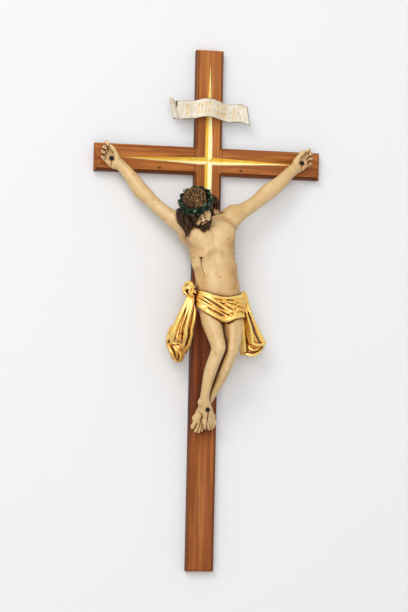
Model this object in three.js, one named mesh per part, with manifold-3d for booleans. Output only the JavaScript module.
// Wooden crucifix: two chamfered, half-lapped timbers with gilded V-grooves, a
// carved and painted figure, a braided wreath, a waved title board and nails.
// Millimetres, +Z up. Origin: centre of the crossing on the back plane (y = 0).
// The front faces -Y; +X is the viewer's right.
import * as THREE from 'three';
import { mergeVertices } from 'three/addons/utils/BufferGeometryUtils.js';
import Module from 'manifold-3d';

const wasm = await Module();
wasm.setup();

// ---------------------------------------------------------------- driving sizes
const TIMBER_W = 66;          // width of post and crossbar
const TIMBER_T = 26;          // thickness, front to back
const POST_TOP = 270;
const POST_BOTTOM = -980;
const BAR_HALF = 275;
const CHAMFER = 6.5;          // on every front edge and end
const GAP = 0.3;              // between pieces that touch
const LAP = TIMBER_T / 2;     // half-lap depth
const FRONT = -TIMBER_T;      // y of the timbers' front faces

const RAY_W = 17;             // width of the gilded grooves at the crossing
const RAY_DEPTH = 0.42;       // groove depth over width
const RAY_UP = 236, RAY_SIDE = 212, RAY_DOWN = 300;
const RAY_TAPER = 0.0925;

const SCROLL_H = 45;          // height of the title board
const SCROLL_T = 4.5;

const NAIL_R = 2.0;           // shank
const NAIL_HEAD_R = 5.4;
const NAIL_BITE = 12;         // how far the shank goes into the timber

const CELL = 2.9;             // sampling cell of the carving, before reduction
const CORPUS_TRIS = 7200;
const CROWN_TRIS = 1250;
const REST = FRONT - 0.45;    // nothing carved lies behind this plane

// ---------------------------------------------------------------- vectors
const V = (x, y, z) => [x, y, z];
const add = (a, b) => [a[0] + b[0], a[1] + b[1], a[2] + b[2]];
const sub = (a, b) => [a[0] - b[0], a[1] - b[1], a[2] - b[2]];
const mul = (a, s) => [a[0] * s, a[1] * s, a[2] * s];
const dot = (a, b) => a[0] * b[0] + a[1] * b[1] + a[2] * b[2];
const cross = (a, b) => [a[1] * b[2] - a[2] * b[1], a[2] * b[0] - a[0] * b[2], a[0] * b[1] - a[1] * b[0]];
const len = (a) => Math.hypot(a[0], a[1], a[2]);
const unit = (a) => mul(a, 1 / len(a));
const mix = (a, b, t) => a + (b - a) * t;
const mixv = (a, b, t) => [mix(a[0], b[0], t), mix(a[1], b[1], t), mix(a[2], b[2], t)];
const clamp = (v, lo, hi) => Math.min(hi, Math.max(lo, v));
const smooth = (e0, e1, v) => { const t = clamp((v - e0) / (e1 - e0), 0, 1); return t * t * (3 - 2 * t); };
const FAR = 1e4;

function smin(a, b, k) {
  const h = Math.max(k - Math.abs(a - b), 0) / k;
  return Math.min(a, b) - h * h * k * 0.25;
}
const smax = (a, b, k) => -smin(-a, -b, k);

// ---------------------------------------------------------------- carved forms
// A form is { c, R, at(x, y, z) }: a bounding ball and a signed distance.
function limb(a, b, ra, rb) {                       // tapered round bar
  const ab = sub(b, a), l2 = dot(ab, ab);
  return {
    c: mixv(a, b, 0.5), R: Math.sqrt(l2) / 2 + Math.max(ra, rb),
    at(x, y, z) {
      const px = x - a[0], py = y - a[1], pz = z - a[2];
      const t = clamp((px * ab[0] + py * ab[1] + pz * ab[2]) / l2, 0, 1);
      const qx = px - ab[0] * t, qy = py - ab[1] * t, qz = pz - ab[2] * t;
      return Math.sqrt(qx * qx + qy * qy + qz * qz) - (ra + (rb - ra) * t);
    },
  };
}
function egg(c, r, axes) {                          // ellipsoid, optionally turned
  const [ex, ey, ez] = axes || [V(1, 0, 0), V(0, 1, 0), V(0, 0, 1)];
  return {
    c, R: Math.max(...r),
    at(x, y, z) {
      const px = x - c[0], py = y - c[1], pz = z - c[2];
      const u = (px * ex[0] + py * ex[1] + pz * ex[2]) / r[0], v = (px * ey[0] + py * ey[1] + pz * ey[2]) / r[1], w = (px * ez[0] + py * ez[1] + pz * ez[2]) / r[2];
      const k0 = Math.sqrt(u * u + v * v + w * w);
      const a = u / r[0], b = v / r[1], g = w / r[2], k1 = Math.sqrt(a * a + b * b + g * g);
      return k1 < 1e-9 ? -Math.min(r[0], r[1], r[2]) : k0 * (k0 - 1) / k1;
    },
  };
}
function chain(points, radii, k) {                  // limbs run into one another
  const f = carve();
  for (let i = 0; i + 1 < points.length; i++) f.join(limb(points[i], points[i + 1], radii[i], radii[i + 1]), k);
  return f;
}
function carve() {                                  // an ordered list of joins and cuts
  const ops = [];
  const self = {
    c: V(0, 0, 0), R: 0, ops,
    grow(form, k) {
      if (!ops.length) { self.c = form.c; self.R = form.R + k; return; }
      const d = len(sub(form.c, self.c)) + form.R + k;
      if (d > self.R) {                             // enclosing ball of both
        const gap = len(sub(form.c, self.c));
        if (gap + self.R <= form.R + k) { self.c = form.c; self.R = form.R + k; return; }
        const R = (self.R + gap + form.R + k) / 2;
        self.c = add(self.c, mul(sub(form.c, self.c), (R - self.R) / gap));
        self.R = R;
      }
    },
    join(form, k = 1) { self.grow(form, k); ops.push([0, form, k]); return self; },
    cut(form, k = 1) { ops.push([1, form, k]); return self; },
    at(x, y, z) {
      let d = FAR;
      for (const [op, f, k] of ops) {
        const dx = x - f.c[0], dy = y - f.c[1], dz = z - f.c[2];
        const lo = Math.sqrt(dx * dx + dy * dy + dz * dz) - f.R;
        if (op === 0) { if (lo < d + k) d = smin(d, f.at(x, y, z), k); }
        else if (lo < k - d) d = smax(d, -f.at(x, y, z), k);
      }
      return d;
    },
  };
  return self;
}
function table(rows, z) {                           // smooth interpolation down a list of [z, ...]
  let i = 0;
  if (z >= rows[0][0]) return rows[0];
  if (z <= rows[rows.length - 1][0]) return rows[rows.length - 1];
  while (z < rows[i + 1][0]) i++;
  const a = rows[Math.max(i - 1, 0)], b = rows[i], c = rows[i + 1], d = rows[Math.min(i + 2, rows.length - 1)];
  const t = (b[0] - z) / (b[0] - c[0]);
  return b.map((v, j) => {
    const m0 = (c[j] - a[j]) / 2, m1 = (d[j] - v) / 2;
    const t2 = t * t, t3 = t2 * t;
    return (2 * t3 - 3 * t2 + 1) * v + (t3 - 2 * t2 + t) * m0 + (3 * t2 - 2 * t3) * c[j] + (t3 - t2) * m1;
  });
}

// ---------------------------------------------------------------- figure: landmarks
// R is the figure's own right, at the viewer's left (-X).
const ARM_R = {
  at: [V(-71, -72, -161), V(-106, -66, -137), V(-138, -60, -109), V(-158, -56, -90), V(-173, -53, -74), V(-191, -49, -49), V(-208, -43, -29), V(-217, -41, -20)],
  r: [20, 17.3, 16.2, 18.4, 18.6, 15.6, 13.2, 12.4],
};
const ARM_L = {
  at: [V(46, -72, -142), V(75, -66, -123), V(109, -60, -100), V(134, -56, -78), V(149, -53, -66), V(172, -49, -47), V(193, -43.5, -25), V(205, -41, -14)],
  r: [22, 19, 16.6, 19, 19.2, 16.6, 14.2, 13],
};
const LEG_R = {
  at: [V(0, -70, -338), V(1, -95, -387), V(7, -112, -418), V(13.4, -126, -449), V(9, -120, -470), V(3, -109, -493), V(-2.5, -97, -521), V(-7, -88, -550), V(-8.4, -80, -573)],
  r: [28, 23, 20, 17.6, 16.2, 17.2, 15.2, 12.3, 11.6],
};
const LEG_L = {
  at: [V(50, -68, -338), V(55, -90, -392), V(54, -103, -424), V(47.4, -114, -452), V(43, -107, -474), V(36.5, -96, -497), V(29, -84, -521), V(17, -72, -547), V(7.5, -62, -568), V(0, -57, -582)],
  r: [28, 23, 20, 17.4, 16, 17, 15.2, 12.4, 11.2, 11],
};
// trunk: height, centre x, half width, front y, back y
const TRUNK = [
  [-118, -9, 17, -92, -54], [-134, -9, 30, -96, -48], [-150, -8, 52, -104, -44], [-166, -7, 58, -112, -40],
  [-184, -4.5, 58, -118, -38], [-212, 1, 55.5, -120, -37], [-246, 6.2, 52.2, -114, -38], [-266, 12.5, 50.5, -108, -40],
  [-282, 17, 49.5, -106, -40], [-300, 20, 51, -107, -35], [-322, 23, 54, -107, -30], [-346, 26, 53, -102, -28],
  [-366, 27, 42, -94, -32],
];
const HEAD_C = V(-42, -124, -123.5);
const HEAD_UP = unit(V(-0.36, -0.71, 0.60));
const HEAD_TURN = 12 * Math.PI / 180;                // towards the figure's right
const HEAD_SIZE = 1.07;
const f0 = unit(sub(V(0, -1, 0), mul(HEAD_UP, -HEAD_UP[1])));
const l0 = cross(HEAD_UP, f0);
const HEAD_FACE = sub(mul(f0, Math.cos(HEAD_TURN)), mul(l0, Math.sin(HEAD_TURN)));
const HEAD_LEFT = add(mul(l0, Math.cos(HEAD_TURN)), mul(f0, Math.sin(HEAD_TURN)));
const HEAD_AXES = [HEAD_LEFT, HEAD_FACE, HEAD_UP];
const onHead = (l, f, u) => add(HEAD_C, add(mul(HEAD_LEFT, l * HEAD_SIZE), add(mul(HEAD_FACE, f * HEAD_SIZE), mul(HEAD_UP, u * HEAD_SIZE))));
const headEgg = (l, f, u, a, b, c) => egg(onHead(l, f, u), [a * HEAD_SIZE, b * HEAD_SIZE, c * HEAD_SIZE], HEAD_AXES);

// ---------------------------------------------------------------- body
function trunkForm() {
  return {
    c: V(8, -75, -245), R: 160,
    at(x, y, z) {
      const [, cx, hw, yf, yb] = table(TRUNK, z);
      const cy = (yf + yb) / 2, hd = (yb - yf) / 2;
      const u = Math.abs(x - cx) / hw, v = Math.abs(y - cy) / hd;
      const n = (u ** 2.35 + v ** 2.35) ** (1 / 2.35);
      let d = (n - 1) * Math.min(hw, hd);
      const zt = TRUNK[0][0], zb = TRUNK[TRUNK.length - 1][0];
      if (z > zt) d = smax(d, z - zt, 14);
      if (z < zb) d = smax(d, zb - z, 14);
      return d;
    },
  };
}
function palmAxes(angle, mirror) {                  // finger direction and thumb side, in the plane of the cross
  const e1 = V(Math.cos(angle), 0, Math.sin(angle));
  const e2 = mirror ? V(Math.sin(angle), 0, -Math.cos(angle)) : V(-Math.sin(angle), 0, Math.cos(angle));
  return [e1, e2];
}
function hand(nail, wrist, angle, mirror, spread) {
  const [e1, e2] = palmAxes(angle, mirror);
  const P = (a, b, y) => V(nail[0] + e1[0] * a + e2[0] * b, y, nail[2] + e1[2] * a + e2[2] * b);
  const h = carve();
  h.join(chain([wrist, P(-17, 1, -39), P(2, -1, -36)], [12.4, 10.6, 8.6], 6), 1);
  h.join(egg(P(-4, -7, -37.5), [19, 8, 9.5], [e1, V(0, 1, 0), e2]), 7);
  h.join(egg(P(-6, 8, -38.5), [17, 8.5, 8.5], [e1, V(0, 1, 0), e2]), 7);
  h.join(egg(P(7, 1, -35), [12, 6.4, 15], [e1, V(0, 1, 0), e2]), 6);
  // thumb lies alongside the first finger
  h.join(chain([P(-8, 12, -41), P(8, 16.5, -45), P(22, 17.5, -47)], [7.4, 5.6, 4.1], 3), 3);
  // first finger almost straight
  h.join(chain([P(12, 11, -36), P(27, 11 + spread * 0.55, -38), P(38.5, 12 + spread, -37)], [6, 4.9, 3.9], 3), 3.2);
  // the other three curl forward
  const roots = [[17, 3.5], [14, -4.5], [8, -12]], knee = [[29, 4.5], [24, -4.5], [15.5, -13.5]], tip = [[29, 4], [22.5, -5.5], [13.5, -13.5]];
  for (let i = 0; i < 3; i++) {
    h.join(chain([P(roots[i][0], roots[i][1], -36), P(knee[i][0], knee[i][1], -41), P(tip[i][0], tip[i][1], -53 + i * 1.5)],
      [5.8 - i * 0.3, 4.9 - i * 0.3, 4.1 - i * 0.3], 2), 2.2);
  }
  h.cut(egg(P(4, -1, -51), [11, 8, 8], [e1, V(0, 1, 0), e2]), 5);
  return h;
}
function foot(ankle, ball, toes, radii, width) {
  const f = carve();
  const dir = unit(sub(ball, ankle)), side = unit(cross(dir, V(0, -1, 0)));
  f.join(limb(ankle, mixv(ankle, ball, 0.55), 11.5, 10), 1);
  f.join(egg(mixv(ankle, ball, 0.62), [width * 0.82, 9.5, 24], [side, unit(cross(side, dir)), dir]), 8);
  f.join(egg(ball, [width, 8, 15], [side, unit(cross(side, dir)), dir]), 8);
  toes.forEach((t, i) => {
    const root = add(ball, mul(side, dot(sub(t, ball), side) * 0.85));
    f.join(limb(add(root, mul(dir, 3)), t, radii[i] + 0.9, radii[i]), 1.8);
  });
  return f;
}
const RING = { rl: 32, rf: 37.5, u: 17, back: -4 };  // wreath's centre line on the head
function ringPoint(a, dr, du) {
  return onHead((RING.rl + dr) * Math.sin(a), RING.back + (RING.rf + dr) * Math.cos(a), RING.u + du + 2.5 * Math.cos(a));
}

const NAIL_AT = { right: V(-237.6, 0, -6.4), left: V(226.1, 0, 3.7), feet: V(-0.3, 0, -596) };
const body = carve();
body.join(trunkForm(), 1);
body.join(chain(ARM_R.at, ARM_R.r, 7), 16);
body.join(chain(ARM_L.at, ARM_L.r, 7), 16);
// shoulders, collar bones, breast, ribs, belly
for (const [s, sh, arm] of [[-1, V(-62, -76, -152), V(-84, -72, -152)], [1, V(42, -76, -136), V(62, -72, -132)]]) {
  body.join(limb(sh, arm, 17, 17), 12);
  body.join(limb(V(-9 + s * 6, -101, -142), add(sh, V(s * -4, -9, 2)), 3, 4), 7);
  body.join(egg(add(V(-4 + s * 28, -108, -184), V(0, 0, s * 3)), [26, 14, 24]), 10);
  body.join(limb(V(-4 + s * 42, -96, -184), V(-7 + s * 58, -78, -168 + s * 7), 10, 10), 12);
  body.join(limb(V(4 + s * 22, -108, -226), V(8 + s * 44, -88, -256), 8, 8), 9);
  body.join(limb(V(3 + s * 42, -66, -206), V(-6 + s * 54 - (s < 0 ? 4 : 0), -66, -178 + s * 8), 10, s < 0 ? 13 : 11), 12);
}
body.cut(egg(V(5, -122, -244), [17, 8, 17]), 12);
body.join(egg(V(19, -96, -294), [31, 14, 26]), 14);
body.join(egg(V(54, -70, -127), [20, 18, 19]), 8);
// neck, leaning forward to the head
body.join(limb(V(-9, -74, -134), V(-37, -102, -128), 18, 17), 12);
body.join(limb(V(10, -64, -136), V(-24, -88, -118), 11, 11), 14);
// hips, thighs, shins
body.join(egg(V(-2, -68, -335), [30, 34, 34]), 14);
body.join(egg(V(50, -66, -333), [30, 34, 34]), 14);
const legs = carve();
legs.join(chain(LEG_L.at, LEG_L.r, 6), 1);
legs.join(egg(V(47.2, -126, -452), [11, 8, 13]), 6);
legs.join(egg(V(37, -84, -496), [13, 13, 26]), 8);
legs.join(foot(V(-2, -55, -584), V(-16, -43, -622), [V(-26, -36, -640), V(-18.5, -37, -647), V(-11, -37, -647.5), V(-4.5, -37, -643.5), V(1.2, -37, -637.5)], [5.4, 3.9, 3.8, 3.6, 3.6], 14.5), 6);
legs.join(chain([V(27, -78, -362), V(30, -88, -400), V(31, -98, -436), V(27, -96, -468)], [22, 15, 11, 9], 6), 7);
legs.join(chain(LEG_R.at, LEG_R.r, 6), 2.2);
legs.join(egg(V(13.6, -139, -449), [11.5, 8, 13.5]), 6);
legs.join(egg(V(3, -97, -492), [13.5, 13, 26]), 8);
legs.join(foot(V(-6, -76, -579), V(7, -57, -618), [V(27, -47.5, -630), V(20.5, -47, -637.5), V(14, -47, -638.5), V(8, -47, -636.8), V(2.2, -47.5, -632.5)], [5.4, 3.9, 3.8, 3.6, 3.6], 15.5), 4);
legs.join(egg(V(-20, -77, -579), [7, 7, 9]), 7);
legs.join(egg(V(4.5, -78, -574), [6, 7, 8]), 6);
legs.join(limb(V(-8, -66, -586), V(-10, -62, -594), 12, 10), 6);
body.join(legs, 9);
body.join(hand(NAIL_AT.right, ARM_R.at[7], 133.3 * Math.PI / 180, true, 7), 4);
body.join(hand(NAIL_AT.left, ARM_L.at[7], 40.5 * Math.PI / 180, false, 0.5), 4);
// head: skull, face, beard, hair
const head = carve();
head.join(headEgg(0, -3, 9, 26, 32, 29), 1);
head.join(headEgg(0, 13, -11, 20.5, 19, 27), 8);
head.join(headEgg(0, 24, 5, 18, 8, 7), 6);
head.join(limb(onHead(0, 31, 2), onHead(0, 38, -11), 3 * HEAD_SIZE, 4.2 * HEAD_SIZE), 3);
for (const s of [-1, 1]) {
  head.cut(headEgg(s * 9.5, 33, -1, 6.5, 5, 4.5), 3);
  head.join(headEgg(s * 9.5, 27, -2, 5, 4, 3.2), 1.5);
  head.join(headEgg(s * 13, 22, -12, 7, 8, 8), 5);
}
head.join(headEgg(0, 26, -24, 15, 9, 12), 4);
head.join(limb(onHead(3, 25, -32), onHead(8, 22.5, -56), 9.5, 3.6), 4);
head.join(limb(onHead(-3, 25, -32), onHead(-5.5, 23, -54), 9, 3.4), 4);
const hair = carve();
hair.join(headEgg(0, -5, 12, 30, 34.5, 30.5), 1);
hair.join(headEgg(0, -14, -6, 31, 27, 30), 8);
hair.cut(headEgg(0, 34, -16, 22, 24, 30), 4);
for (const s of [-1, 1]) {
  hair.join(chain([onHead(s * 27, 12, 8), onHead(s * 29, 6, -12), onHead(s * 27, -2, -30)], [7, 9, 8], 6), 6);
  // three twisted locks on each side
  for (let j = 0; j < 3; j++) {
    const pts = [], rr = [];
    for (let i = 0; i <= 6; i++) {
      const t = i / 6;
      pts.push(onHead(s * (26 + 2 * Math.sin(t * 7 + j * 2.1)), 8 - j * 9 - 6 * t + 2 * Math.cos(t * 7 + j), -10 - 32 * t));
      rr.push(mix(7.5, 3.5, t));
    }
    if (s > 0 || j > 0) hair.join(chain(pts, rr, 2), 4);
  }
}
// the long front lock on the figure's right, and the curl behind the left ear
hair.join(chain([V(-74, -116, -138), V(-79, -116, -156), V(-74, -117, -170), V(-69, -116, -182), V(-66, -112, -192)], [17, 14, 11.5, 8, 3.6], 5), 7);
hair.join(chain([V(-62, -126, -146), V(-56, -126, -158), V(-53.5, -122, -172)], [13, 9.5, 4], 4), 5);
hair.join(chain([V(-2, -96, -98), V(6, -92, -106), V(10, -90, -113), V(15, -86, -125)], [11, 9, 6.5, 3], 4), 5);
head.join(hair, 1.5);
body.join(head, 5);

// ---------------------------------------------------------------- loincloth
const KNOT = V(-53, -88, -316);
const cloth = carve();
const wrapTop = (x) => -332 + 0.0042 * (x - 28) ** 2;
function wrapBottom(x) {
  const t = clamp((x + 36) / 70, 0, 1);
  return x < 34 ? mix(-353, -391, Math.sin(t * Math.PI / 2) ** 1.2) : mix(-391, -378, smooth(38, 62, x));
}
const wrapBody = {
  c: V(24, -68, -350), R: 96,
  at(x, y, z) {
    const [, cx, hw, yf, yb] = table(TRUNK, Math.max(z, -352));
    const low = clamp((-352 - z) / 40, 0, 1);
    const front = yf - 5 - 16 * low, side = hw + 5.5 - 2 * low;
    const cy = (front + yb + 1) / 2, hd = (yb + 1 - front) / 2;
    const n = ((Math.abs(x - cx) / side) ** 2.5 + (Math.abs(y - cy) / hd) ** 2.5) ** (1 / 2.5);
    let d = (n - 1) * Math.min(side, hd) * 0.9;
    // folds run out of the knot, steepest on the near side
    const ang = Math.atan2(z - KNOT[2] + 6, x - KNOT[0] + 14), r = Math.hypot(x - KNOT[0], z - KNOT[2]);
    const amp = 2.6 * smooth(8, 40, r) * smooth(-30, -70, y) * (1 - 0.4 * smooth(90, 130, r));
    d += amp * Math.sin(ang * 17 + 0.012 * r) + 0.45 * amp * Math.sin(ang * 31 + 1.3);
    const lip = y < -50 ? 0 : 6 * smooth(-50, -30, y);
    d = smax(d, z - wrapTop(x) - lip, 4);
    return smax(d, wrapBottom(x) - z, 4);
  },
};
cloth.join(wrapBody, 1);
for (const [a, b, ra, rb] of [
  [V(-46, -94, -316), V(-6, -112, -333), 5.5, 4], [V(-6, -112, -333), V(40, -110, -336), 4, 3.8], [V(40, -110, -336), V(80, -80, -322), 3.8, 5],
  [V(-40, -92, -332), V(-12, -114, -360), 5, 4.5], [V(-12, -114, -360), V(32, -122, -387), 4.5, 4.5], [V(32, -122, -387), V(58, -117, -377), 4.5, 3.6], [V(58, -117, -377), V(77, -90, -374), 3.6, 4],
]) cloth.join(limb(a, b, ra, rb), 4);
// the knot: two crossed loops and a bud
cloth.join(egg(KNOT, [11, 11, 11]), 3);
cloth.join(chain([V(-46, -92, -326), V(-55, -98, -316), V(-53, -92, -303), V(-50, -84, -298)], [7, 6.2, 6.4, 5.6], 3), 3);
cloth.join(chain([V(-44, -90, -306), V(-54, -96, -309), V(-64, -90, -316), V(-60, -84, -327)], [6.5, 6, 6.2, 5], 3), 2.5);
cloth.join(limb(V(-48, -78, -306), V(-60, -80, -304), 7, 6), 3);
// a hanging end: a sheet in waves between two edges that depend on height
function tail(rows, waves, phase, depth, ampTop, ampEnd, thick, hem) {
  const z1 = rows[0][0], z0 = rows[rows.length - 1][0];
  return {
    c: V(mix(rows[0][1], rows[rows.length - 1][2], 0.5), -70, (z0 + z1) / 2), R: (z1 - z0) / 2 + 50,
    at(x, y, z) {
      const [, xl, xr, yc] = table(rows, z);
      const w = xr - xl, u = (x - xl) / w;
      const s = clamp((z1 - z) / (z1 - z0), 0, 1);
      const amp = mix(ampTop, ampEnd, s);
      const wave = Math.sin(u * Math.PI * 2 * waves + phase + 0.9 * s);
      const yy = yc + amp * wave + depth * (u - 0.5) * (u - 0.5);
      const slope = amp * Math.PI * 2 * waves / Math.max(w, 8);
      let d = (Math.abs(y - yy) - thick) / Math.sqrt(1 + slope * slope * 0.55);
      d = smax(d, -(x - xl), 3);
      d = smax(d, x - xr, 3);
      d = smax(d, z - z1, 4);
      return smax(d, z0 + hem * wave - z, 3);
    },
  };
}
const TAIL_R = [[-322, -53, -40, -80], [-340, -58, -36, -78], [-360, -66, -32, -74], [-385, -77, -32, -70], [-408, -86, -39, -67], [-432, -92, -42, -65]];
const TAIL_R2 = [[-398, -86, -44, -54], [-420, -93, -39, -50], [-440, -92, -36, -48], [-456, -86, -40, -48], [-474, -74, -49, -49], [-487, -64, -55, -50]];
cloth.join(tail(TAIL_R, 1.6, 0.6, 16, 4, 7, 4.4, 5), 4);
cloth.join(tail(TAIL_R2, 1.2, 2.2, 12, 4, 5, 4.4, 1), 4);
cloth.join(chain([V(-50, -84, -324), V(-60, -87, -352), V(-73, -85, -388), V(-85, -78, -420)], [7.5, 6.5, 6.2, 5.5], 4), 5);
cloth.join(chain([V(-44, -82, -334), V(-46, -82, -370), V(-54, -79, -400), V(-56, -72, -428)], [7, 6.2, 6, 5], 4), 5);
const TAIL_L = [[-318, 76, 89, -72], [-340, 78, 94, -70], [-368, 80, 103, -68], [-396, 84, 116, -64], [-420, 90, 130, -60], [-438, 98, 139, -58]];
const TAIL_L2 = [[-372, 80, 94, -54], [-400, 82, 110, -50], [-424, 84, 132, -47], [-444, 86, 138, -47], [-456, 92, 130, -47], [-462, 98, 116, -47]];
cloth.join(tail(TAIL_L, 0.8, 0.4, 14, 3, 5, 4.6, 3), 4);
cloth.join(tail(TAIL_L2, 1.2, 1.4, 8, 3, 5, 4.6, 1), 4);
cloth.join(chain([V(82, -74, -320), V(89, -75, -350), V(104, -74, -392), V(128, -67, -430)], [6.5, 5.5, 5, 5.5], 4), 5);
cloth.join(chain([V(80, -66, -372), V(84, -66, -410), V(90, -58, -444)], [5.5, 6, 5.5], 4), 4);

const figure = carve();
figure.join(body, 1);
figure.join(cloth, 2);

// ---------------------------------------------------------------- wreath
function wreath(clearance) {
  const w = carve();
  const STEPS = 54, STRANDS = 3, TWISTS = 5;
  for (let s = 0; s < STRANDS; s++) {
    const p = (i) => {
      const a = i / STEPS * Math.PI * 2, q = a * TWISTS + s * Math.PI * 2 / STRANDS;
      return ringPoint(a, 4.1 * Math.cos(q), 6.4 * Math.sin(q));
    };
    for (let i = 0; i < STEPS; i++) w.join(limb(p(i), p(i + 1), 3.7 + clearance, 3.7 + clearance), 1.2);
  }
  for (let i = 0; i < 13; i++) {
    const a = i / 13 * Math.PI * 2 + 0.2, side = i % 2 ? 1 : -0.6;
    w.join(limb(ringPoint(a, 3, 3 * side), ringPoint(a + 0.12, 11.5, 10.5 * side), 2.4 + clearance, 0.9 + clearance), 1.5);
  }
  return w;
}
figure.cut(wreath(1.9), 0.5);

// ---------------------------------------------------------------- from distances to facets
const TETS = [[0, 5, 1, 6], [0, 1, 2, 6], [0, 2, 3, 6], [0, 3, 7, 6], [0, 7, 4, 6], [0, 4, 5, 6]];
const CORNERS = [[0, 0, 0], [1, 0, 0], [1, 1, 0], [0, 1, 0], [0, 0, 1], [1, 0, 1], [1, 1, 1], [0, 1, 1]];
function sample(form, lo, hi, cell) {
  const n = [0, 1, 2].map((i) => Math.ceil((hi[i] - lo[i]) / cell) + 1);
  const val = new Float64Array(n[0] * n[1] * n[2]);
  const id = (i, j, k) => (k * n[1] + j) * n[0] + i;
  const fill = (i0, j0, k0, B) => {                  // halve each block until it is far from the surface or small
    if (i0 >= n[0] || j0 >= n[1] || k0 >= n[2]) return;
    const mid = B > 1 ? form.at(lo[0] + (i0 + (B - 1) / 2) * cell, lo[1] + (j0 + (B - 1) / 2) * cell, lo[2] + (k0 + (B - 1) / 2) * cell) : 0;
    if (B > 2 && Math.abs(mid) < cell * B * 1.15) {
      const h = B / 2;
      for (let m = 0; m < 8; m++) fill(i0 + (m & 1) * h, j0 + ((m >> 1) & 1) * h, k0 + (m >> 2) * h, h);
      return;
    }
    const far = Math.abs(mid) >= cell * B * 1.15;
    for (let k = k0; k < Math.min(k0 + B, n[2]); k++) for (let j = j0; j < Math.min(j0 + B, n[1]); j++) for (let i = i0; i < Math.min(i0 + B, n[0]); i++) {
      val[id(i, j, k)] = far ? mid : form.at(lo[0] + i * cell, lo[1] + j * cell, lo[2] + k * cell);
    }
  };
  for (let k = 0; k < n[2]; k += 16) for (let j = 0; j < n[1]; j += 16) for (let i = 0; i < n[0]; i += 16) fill(i, j, k, 16);
  const pts = [], tris = [], edges = new Map();
  const vert = (a, b) => {
    if (a > b) [a, b] = [b, a];
    const key = a * 8388608 + b;
    let v = edges.get(key);
    if (v !== undefined) return v;
    const t = clamp(val[a] / (val[a] - val[b]), 0.08, 0.92);
    const ca = [a % n[0], Math.floor(a / n[0]) % n[1], Math.floor(a / (n[0] * n[1]))];
    const cb = [b % n[0], Math.floor(b / n[0]) % n[1], Math.floor(b / (n[0] * n[1]))];
    v = pts.length / 3;
    for (let i = 0; i < 3; i++) pts.push(lo[i] + cell * mix(ca[i], cb[i], t));
    edges.set(key, v);
    return v;
  };
  const tri = (a, b, c) => tris.push(a, b, c);
  for (let k = 0; k + 1 < n[2]; k++) for (let j = 0; j + 1 < n[1]; j++) for (let i = 0; i + 1 < n[0]; i++) {
    const q = CORNERS.map((c) => id(i + c[0], j + c[1], k + c[2]));
    let neg = 0;
    for (let m = 0; m < 8; m++) if (val[q[m]] < 0) neg++;
    if (neg === 0 || neg === 8) continue;
    for (const T of TETS) {
      const w = T.map((t) => q[t]), inn = w.filter((p) => val[p] < 0), out = w.filter((p) => val[p] >= 0);
      if (!inn.length || !out.length) continue;
      // orientation: the first inside corner sees the facet from behind
      const f = [];
      if (inn.length === 1) f.push([vert(inn[0], out[0]), vert(inn[0], out[1]), vert(inn[0], out[2])]);
      else if (inn.length === 3) f.push([vert(out[0], inn[0]), vert(out[0], inn[1]), vert(out[0], inn[2])]);
      else {
        const [a, b, c, d] = [vert(inn[0], out[0]), vert(inn[0], out[1]), vert(inn[1], out[1]), vert(inn[1], out[0])];
        f.push([a, b, c], [a, c, d]);
      }
      const o = out[0], p = inn[0];
      const co = [o % n[0], Math.floor(o / n[0]) % n[1], Math.floor(o / (n[0] * n[1]))];
      const cp = [p % n[0], Math.floor(p / n[0]) % n[1], Math.floor(p / (n[0] * n[1]))];
      const dir = sub(co, cp);
      for (const [a, b, c] of f) {
        const A = [pts[a * 3], pts[a * 3 + 1], pts[a * 3 + 2]], Bv = [pts[b * 3], pts[b * 3 + 1], pts[b * 3 + 2]], C = [pts[c * 3], pts[c * 3 + 1], pts[c * 3 + 2]];
        if (dot(cross(sub(Bv, A), sub(C, A)), dir) >= 0) tri(a, b, c); else tri(a, c, b);
      }
    }
  }
  return { pts, tris };
}
function largest({ pts, tris }) {                   // keep the biggest connected shell
  const p = Array.from({ length: pts.length / 3 }, (_, i) => i);
  const root = (a) => { while (p[a] !== a) { p[a] = p[p[a]]; a = p[a]; } return a; };
  for (let i = 0; i < tris.length; i += 3) { p[root(tris[i])] = root(tris[i + 1]); p[root(tris[i + 1])] = root(tris[i + 2]); }
  const count = new Map();
  for (let i = 0; i < tris.length; i += 3) { const r = root(tris[i]); count.set(r, (count.get(r) || 0) + 1); }
  const best = [...count].sort((a, b) => b[1] - a[1])[0][0];
  const map = new Map(), np = [], nt = [];
  for (let i = 0; i < tris.length; i += 3) {
    if (root(tris[i]) !== best) continue;
    for (let j = 0; j < 3; j++) {
      const v = tris[i + j];
      if (!map.has(v)) { map.set(v, np.length / 3); np.push(pts[v * 3], pts[v * 3 + 1], pts[v * 3 + 2]); }
      nt.push(map.get(v));
    }
  }
  return { pts: np, tris: nt };
}
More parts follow.
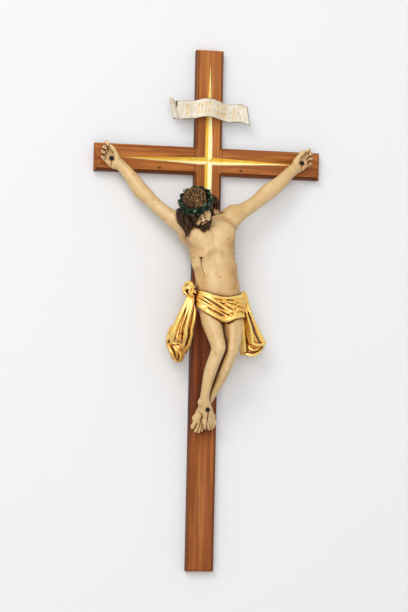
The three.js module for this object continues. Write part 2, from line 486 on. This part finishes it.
// Edge-collapse reduction by plane quadrics; keeps the surface closed.
function reduce({ pts, tris }, target, weight) {
  const nv = pts.length / 3, P = Float64Array.from(pts), Q = new Float64Array(nv * 10);
  const faces = [], around = Array.from({ length: nv }, () => new Set());
  const normal = (a, b, c) => {
    const ux = P[b * 3] - P[a * 3], uy = P[b * 3 + 1] - P[a * 3 + 1], uz = P[b * 3 + 2] - P[a * 3 + 2];
    const vx = P[c * 3] - P[a * 3], vy = P[c * 3 + 1] - P[a * 3 + 1], vz = P[c * 3 + 2] - P[a * 3 + 2];
    return [uy * vz - uz * vy, uz * vx - ux * vz, ux * vy - uy * vx];
  };
  for (let i = 0; i < tris.length; i += 3) {
    const f = [tris[i], tris[i + 1], tris[i + 2]], id = faces.length;
    faces.push(f);
    const m = normal(...f), L = len(m) || 1e-12, nn = mul(m, 1 / L);
    const d = -(nn[0] * P[f[0] * 3] + nn[1] * P[f[0] * 3 + 1] + nn[2] * P[f[0] * 3 + 2]);
    const w = L * (weight ? weight(P[f[0] * 3], P[f[0] * 3 + 1], P[f[0] * 3 + 2]) : 1);
    const q = [nn[0] * nn[0], nn[0] * nn[1], nn[0] * nn[2], nn[0] * d, nn[1] * nn[1], nn[1] * nn[2], nn[1] * d, nn[2] * nn[2], nn[2] * d, d * d];
    for (const v of f) { around[v].add(id); for (let j = 0; j < 10; j++) Q[v * 10 + j] += q[j] * w; }
  }
  let alive = faces.length;
  const stamp = new Int32Array(nv), heap = [];
  const up = (i) => { const e = heap[i]; while (i > 0) { const p = (i - 1) >> 1; if (heap[p].c <= e.c) break; heap[i] = heap[p]; i = p; } heap[i] = e; };
  const down = (i) => { const e = heap[i], n = heap.length; for (;;) { let c = 2 * i + 1; if (c >= n) break; if (c + 1 < n && heap[c + 1].c < heap[c].c) c++; if (heap[c].c >= e.c) break; heap[i] = heap[c]; i = c; } heap[i] = e; };
  const pop = () => { const t = heap[0], l = heap.pop(); if (heap.length) { heap[0] = l; down(0); } return t; };
  function plan(a, b) {
    const q = new Array(10);
    for (let j = 0; j < 10; j++) q[j] = Q[a * 10 + j] + Q[b * 10 + j];
    const err = (x, y, z) => q[0] * x * x + 2 * q[1] * x * y + 2 * q[2] * x * z + 2 * q[3] * x + q[4] * y * y + 2 * q[5] * y * z + 2 * q[6] * y + q[7] * z * z + 2 * q[8] * z + q[9];
    const A = [P[a * 3], P[a * 3 + 1], P[a * 3 + 2]], B = [P[b * 3], P[b * 3 + 1], P[b * 3 + 2]], M = mixv(A, B, 0.5);
    const L = len(sub(A, B));
    let best = M, c = err(...M);
    for (const X of [A, B]) { const e = err(...X); if (e < c) { c = e; best = X; } }
    const reg = 1e-3 * (q[0] + q[4] + q[7]) + 1e-9;
    const a00 = q[0] + reg, a11 = q[4] + reg, a22 = q[7] + reg;
    const b0 = -q[3] + reg * M[0], b1 = -q[6] + reg * M[1], b2 = -q[8] + reg * M[2];
    const D = a00 * (a11 * a22 - q[5] * q[5]) - q[1] * (q[1] * a22 - q[5] * q[2]) + q[2] * (q[1] * q[5] - a11 * q[2]);
    if (Math.abs(D) > 1e-14) {
      const x = (b0 * (a11 * a22 - q[5] * q[5]) - q[1] * (b1 * a22 - q[5] * b2) + q[2] * (b1 * q[5] - a11 * b2)) / D;
      const y = (a00 * (b1 * a22 - b2 * q[5]) - b0 * (q[1] * a22 - q[5] * q[2]) + q[2] * (q[1] * b2 - b1 * q[2])) / D;
      const z = (a00 * (a11 * b2 - q[5] * b1) - q[1] * (q[1] * b2 - b1 * q[2]) + b0 * (q[1] * q[5] - a11 * q[2])) / D;
      if (len(sub([x, y, z], M)) < L * 1.5) { const e = err(x, y, z); if (e < c) { c = e; best = [x, y, z]; } }
    }
    return { c: Math.max(c, 0) + 1e-4 * L * L, a, b, p: best, s: stamp[a] + stamp[b] };
  }
  const push = (a, b) => { heap.push(plan(a, b)); up(heap.length - 1); };
  const ring = (v) => { const s = new Set(); for (const f of around[v]) for (const w of faces[f]) if (w !== v) s.add(w); return s; };
  for (let v = 0; v < nv; v++) for (const w of ring(v)) if (v < w) push(v, w);
  while (alive > target && heap.length) {
    const e = pop();
    if (!around[e.a].size || !around[e.b].size || e.s !== stamp[e.a] + stamp[e.b]) continue;
    const { a, b, p } = e, ra = ring(a), rb = ring(b);
    if (!ra.has(b)) continue;
    let shared = 0;
    for (const v of ra) if (rb.has(v)) shared++;
    if (shared !== 2 || ra.size + rb.size < 8 || ra.size + rb.size > 22) continue;
    let ok = true;
    for (const v of [a, b]) {
      const old = [P[v * 3], P[v * 3 + 1], P[v * 3 + 2]];
      for (const f of around[v]) {
        const g = faces[f];
        if (g.includes(a) && g.includes(b)) continue;
        const n0 = normal(...g);
        P[v * 3] = p[0]; P[v * 3 + 1] = p[1]; P[v * 3 + 2] = p[2];
        const n1 = normal(...g);
        P[v * 3] = old[0]; P[v * 3 + 1] = old[1]; P[v * 3 + 2] = old[2];
        const l0n = len(n0), l1n = len(n1);
        let longest = 0;
        for (let i = 0; i < 3; i++) {
          const x = g[i] === v ? p : [P[g[i] * 3], P[g[i] * 3 + 1], P[g[i] * 3 + 2]];
          const h = g[(i + 1) % 3], y = h === v ? p : [P[h * 3], P[h * 3 + 1], P[h * 3 + 2]];
          longest = Math.max(longest, len(sub(x, y)));
        }
        if (l1n < 0.06 * longest * longest || dot(n0, n1) < 0.35 * l0n * l1n) { ok = false; break; }
      }
      if (!ok) break;
    }
    if (!ok) continue;
    P[a * 3] = p[0]; P[a * 3 + 1] = p[1]; P[a * 3 + 2] = p[2];
    for (let j = 0; j < 10; j++) Q[a * 10 + j] += Q[b * 10 + j];
    for (const f of around[b]) {
      const g = faces[f];
      if (g.includes(a)) { alive--; for (const w of g) around[w].delete(f); continue; }
      g[g.indexOf(b)] = a;
      around[a].add(f);
    }
    around[b].clear();
    stamp[a]++; stamp[b]++;
    for (const w of ring(a)) push(a, w);
  }
  const map = new Map(), np = [], nt = [];
  const live = new Set();
  for (const s of around) for (const f of s) live.add(f);
  for (const f of [...live].sort((x, y) => x - y)) for (const v of faces[f]) {
    if (!map.has(v)) { map.set(v, np.length / 3); np.push(P[v * 3], P[v * 3 + 1], P[v * 3 + 2]); }
    nt.push(map.get(v));
  }
  return { pts: np, tris: nt };
}

// ---------------------------------------------------------------- solids and cuts
function solid(geometry) {
  const g = geometry.clone();
  for (const name of Object.keys(g.attributes)) if (name !== 'position') g.deleteAttribute(name);
  const m = mergeVertices(g, 1e-4);
  return new wasm.Manifold(new wasm.Mesh({
    numProp: 3, vertProperties: Float32Array.from(m.attributes.position.array), triVerts: Uint32Array.from(m.index.array),
  }));
}
function solidOf({ pts, tris }) {
  return new wasm.Manifold(new wasm.Mesh({ numProp: 3, vertProperties: Float32Array.from(pts), triVerts: Uint32Array.from(tris) }));
}
function geometryOf(manifold) {
  const m = manifold.getMesh(), g = new THREE.BufferGeometry();
  g.setAttribute('position', new THREE.BufferAttribute(Float32Array.from(m.vertProperties), 3));
  g.setIndex(new THREE.BufferAttribute(Uint32Array.from(m.triVerts), 1));
  g.computeVertexNormals();
  return g;
}
function prism(outline, depth) {                    // outline in its own XY, extruded along +Z
  const s = new THREE.Shape(outline.map(([x, y]) => new THREE.Vector2(x, y)));
  return new THREE.ExtrudeGeometry(s, { depth, bevelEnabled: false, steps: 1 });
}
// A timber along Z: its section and its side view are both chamfered at the front.
function timber(width, lo, hi, deg = 0) {
  const h = width / 2, c = CHAMFER;
  const section = prism([[-h, 0], [-h, FRONT + c], [-h + c, FRONT], [h - c, FRONT], [h, FRONT + c], [h, 0]].reverse(), hi - lo);
  section.translate(0, 0, lo);
  const side = prism([[0, lo], [0, hi], [FRONT + c, hi], [FRONT, hi - c], [FRONT, lo + c], [FRONT + c, lo]], width + 20);
  // the side view's own axes (y, z) become world Y and Z, its depth world X
  side.applyMatrix4(new THREE.Matrix4().makeBasis(new THREE.Vector3(0, 1, 0), new THREE.Vector3(0, 0, 1), new THREE.Vector3(1, 0, 0)));
  side.translate(-(width + 20) / 2, 0, 0);
  for (const g of [section, side]) g.rotateY(deg * Math.PI / 180);
  return solid(section).intersect(solid(side));
}
function box(x0, x1, y0, y1, z0, z1) {
  const g = new THREE.BoxGeometry(x1 - x0, y1 - y0, z1 - z0);
  g.translate((x0 + x1) / 2, (y0 + y1) / 2, (z0 + z1) / 2);
  return solid(g);
}
// One tapered V-groove along +Z from the crossing, as a cutting body in front of the timber.
function ray(length, deg) {
  const over = 3, rows = [], knee = length - RAY_W / RAY_TAPER;
  for (const s of [-4, Math.max(knee, 1), length]) {
    const w = Math.min(RAY_W, (length - s) * RAY_TAPER) + 0.02, d = w * RAY_DEPTH;
    const grow = over / (d / (w / 2));
    rows.push([[-(w / 2) - grow, FRONT - over, s], [w / 2 + grow, FRONT - over, s], [0, FRONT + d, s]]);
  }
  const a0 = deg * Math.PI / 180, co = Math.cos(a0), si = Math.sin(a0);
  const pts = rows.flat().flatMap(([x, y, z]) => [x * co + z * si, y, z * co - x * si]), tris = [0, 1, 2];
  for (let i = 0; i + 1 < rows.length; i++) for (let j = 0; j < 3; j++) {
    const a = i * 3 + j, b = i * 3 + (j + 1) % 3, c = a + 3, d = b + 3;
    tris.push(a, c, b, b, c, d);
  }
  const e = (rows.length - 1) * 3;
  tris.push(e, e + 2, e + 1);
  let m = solidOf({ pts, tris });
  if (m.volume() < 0) m = solidOf({ pts, tris: tris.flatMap((_, i) => i % 3 === 0 ? [tris[i], tris[i + 2], tris[i + 1]] : []) });
  return m;
}
const rays = ray(RAY_UP, 0).add(ray(RAY_SIDE, 90)).add(ray(RAY_SIDE, -90)).add(ray(RAY_DOWN, 180));

function rod(r, y0, y1, x, z, seg = 16) {
  const g = new THREE.CylinderGeometry(r, r, y1 - y0, seg);
  g.translate(x, (y0 + y1) / 2, z);
  return solid(g);
}
const holes = Object.values(NAIL_AT).map((p) => rod(NAIL_R + GAP, FRONT - 90, FRONT + NAIL_BITE + GAP, p[0], p[2]));

// ---------------------------------------------------------------- timbers
const W = TIMBER_W / 2;
// The chamfers were cut on the joined cross, so they meet in mitres at its inner corners
// and the post carries the flat middle of the crossing.
let post = timber(TIMBER_W, POST_BOTTOM, POST_TOP);
let bar = timber(TIMBER_W, -BAR_HALF, BAR_HALF, 90);
post = post.add(bar.intersect(box(-W, W, FRONT - 1, 1, -W - 1, W + 1)));
post = post.subtract(box(-W - 1, W + 1, -LAP, 1, -W - GAP, W + GAP));
bar = bar.subtract(box(-W - GAP, W + GAP, FRONT - 1, -LAP + GAP, -W - 1, W + 1));
post = post.subtract(rays);
bar = bar.subtract(rays);
for (const h of holes) { post = post.subtract(h); bar = bar.subtract(h); }

// ---------------------------------------------------------------- title board
// A waved board: at each station along it, the position of its front face and the
// rise of its edges. Its left end is turned over forward.
function board() {
  const N = 34, rows = 2, half = SCROLL_H / 2;
  const path = (t) => {                              // centre line in plan, and rise
    const x = mix(-88, 93, t);
    const bulge = Math.exp(-(((x + 3) / 34) ** 2));
    const y = -35 - 16 * bulge - 7 * smooth(70, 93, x) - 3 * smooth(-55, -88, x);
    const z = 119.5 + 7 * Math.exp(-(((x + 8) / 30) ** 2)) - 1.5 * smooth(-60, -90, x) - 3 * smooth(0, 50, x) + 2.5 * smooth(45, 78, x) - 7 * smooth(74, 94, x);
    return [x, y, z];
  };
  const pts = [], tris = [];
  for (let i = 0; i <= N; i++) {
    const t = i / N, p = path(t), q = path(Math.min(t + 1e-3, 1)), o = path(Math.max(t - 1e-3, 0));
    const d = unit([q[0] - o[0], q[1] - o[1], 0]), n = [-d[1], d[0], 0];   // pointing to the back
    const lean = 6 * smooth(0.8, 1, t) - 3 * smooth(0.15, 0, t);
    for (const [s, e] of [[-1, 0], [1, 0], [1, 1], [-1, 1]]) {
      pts.push(p[0] + n[0] * SCROLL_T * e + (s > 0 ? -lean : lean) * 0.5, p[1] + n[1] * SCROLL_T * e, p[2] + s * half);
    }
  }
  for (let i = 0; i < N; i++) for (let j = 0; j < 4; j++) {
    const a = i * 4 + j, b = i * 4 + (j + 1) % 4;
    tris.push(a, a + 4, b, b, a + 4, b + 4);
  }
  tris.push(0, 1, 2, 0, 2, 3);
  const e = N * 4;
  tris.push(e, e + 2, e + 1, e, e + 3, e + 2);
  let m = solidOf({ pts, tris });
  if (m.volume() < 0) m = solidOf({ pts, tris: tris.flatMap((_, i) => i % 3 === 0 ? [tris[i], tris[i + 2], tris[i + 1]] : []) });
  // the folded strip at the left end
  const strip = prism([[-89, 142], [-98, 147.5], [-101.5, 146], [-90, 99.5], [-86, 95.5], [-78, 96.5], [-76, 99.5]], 14);
  strip.applyMatrix4(new THREE.Matrix4().makeBasis(new THREE.Vector3(1, 0, 0), new THREE.Vector3(0, 0, 1), new THREE.Vector3(0, -1, 0)));
  strip.translate(0, -34, 0);
  return m.add(solid(strip));
}
let scroll = board().subtract(timberShadow());
function timberShadow() { return box(-W - GAP, W + GAP, FRONT - GAP, 5, 60, 180); }

// ---------------------------------------------------------------- figure, wreath, nails
const fine = (x, y, z) => {                         // head, hands and feet keep more facets
  const d = Math.min(len([x + 45, y + 124, z + 122]) - 45, Math.abs(Math.abs(x) - 235) - 25 + (z < -40 ? 60 : 0), z > -590 ? 60 : -1);
  return d < 0 ? 4 : 1;
};
let carving = largest(sample(figure, V(-276, -182, -666), V(270, -12, 58), CELL));
carving = reduce(carving, CORPUS_TRIS, fine);
for (let i = 1; i < carving.pts.length; i += 3) carving.pts[i] = Math.min(carving.pts[i], REST);
let corpus = solidOf(carving);
for (const h of holes) corpus = corpus.subtract(h);

let twist = largest(sample(wreath(0), V(-112, -190, -166), V(24, -70, -44), 1.9));
let crown = solidOf(reduce(twist, CROWN_TRIS));

function nail(p, face) {                            // face: y of the surface its head sits on
  const pts = [];
  const head = 5;
  const prof = [[0, -head], [NAIL_HEAD_R * 0.55, -head * 0.86], [NAIL_HEAD_R * 0.9, -head * 0.45], [NAIL_HEAD_R, 0], [NAIL_R, 0], [NAIL_R, FRONT + NAIL_BITE - 3 - face], [0, FRONT + NAIL_BITE - face]];
  for (const [r, y] of prof) pts.push(new THREE.Vector2(r, y));
  const g = new THREE.LatheGeometry(pts, 16);
  g.rotateX(0);
  g.translate(p[0], face, p[2]);
  let m = solid(g);
  if (m.volume() < 0) {
    g.index = new THREE.BufferAttribute(Uint32Array.from(g.index.array).map((_, i, a) => a[i % 3 === 0 ? i : i % 3 === 1 ? i + 1 : i - 1]), 1);
    m = solid(g);
  }
  return m;
}
function surfaceAt(p) {                             // y of the carving's front, looking along +Y, within a head's radius
  let y = -10;
  for (let a = 0; a < 8; a++) for (const r of [0, NAIL_HEAD_R]) {
    const x = p[0] + r * Math.cos(a * Math.PI / 4), z = p[2] + r * Math.sin(a * Math.PI / 4);
    for (let v = -120; v < y; v += 0.25) if (figure.at(x, v, z) < 0.4) { y = v; break; }
  }
  return y;
}

// ---------------------------------------------------------------- scene graph
const model = new THREE.Group();
function place(name, manifold, color, roughness, metalness) {
  const mesh = new THREE.Mesh(geometryOf(manifold), new THREE.MeshStandardMaterial({ color, roughness, metalness }));
  mesh.name = name;
  model.add(mesh);
}
place('post', post, 0x9a5a32, 0.45, 0);
place('crossbar', bar, 0x9a5a32, 0.45, 0);
place('scroll', scroll, 0xe6dfd0, 0.6, 0);
place('corpus', corpus, 0xdcc096, 0.5, 0);
place('crown_of_thorns', crown, 0x2c4a34, 0.4, 0);
for (const [key, name] of [['right', 'nail_right_hand'], ['left', 'nail_left_hand'], ['feet', 'nail_feet']]) {
  let m = nail(NAIL_AT[key], surfaceAt(NAIL_AT[key]) - GAP);
  place(name, m, 0x17171a, 0.5, 0.8);
}
export default model;
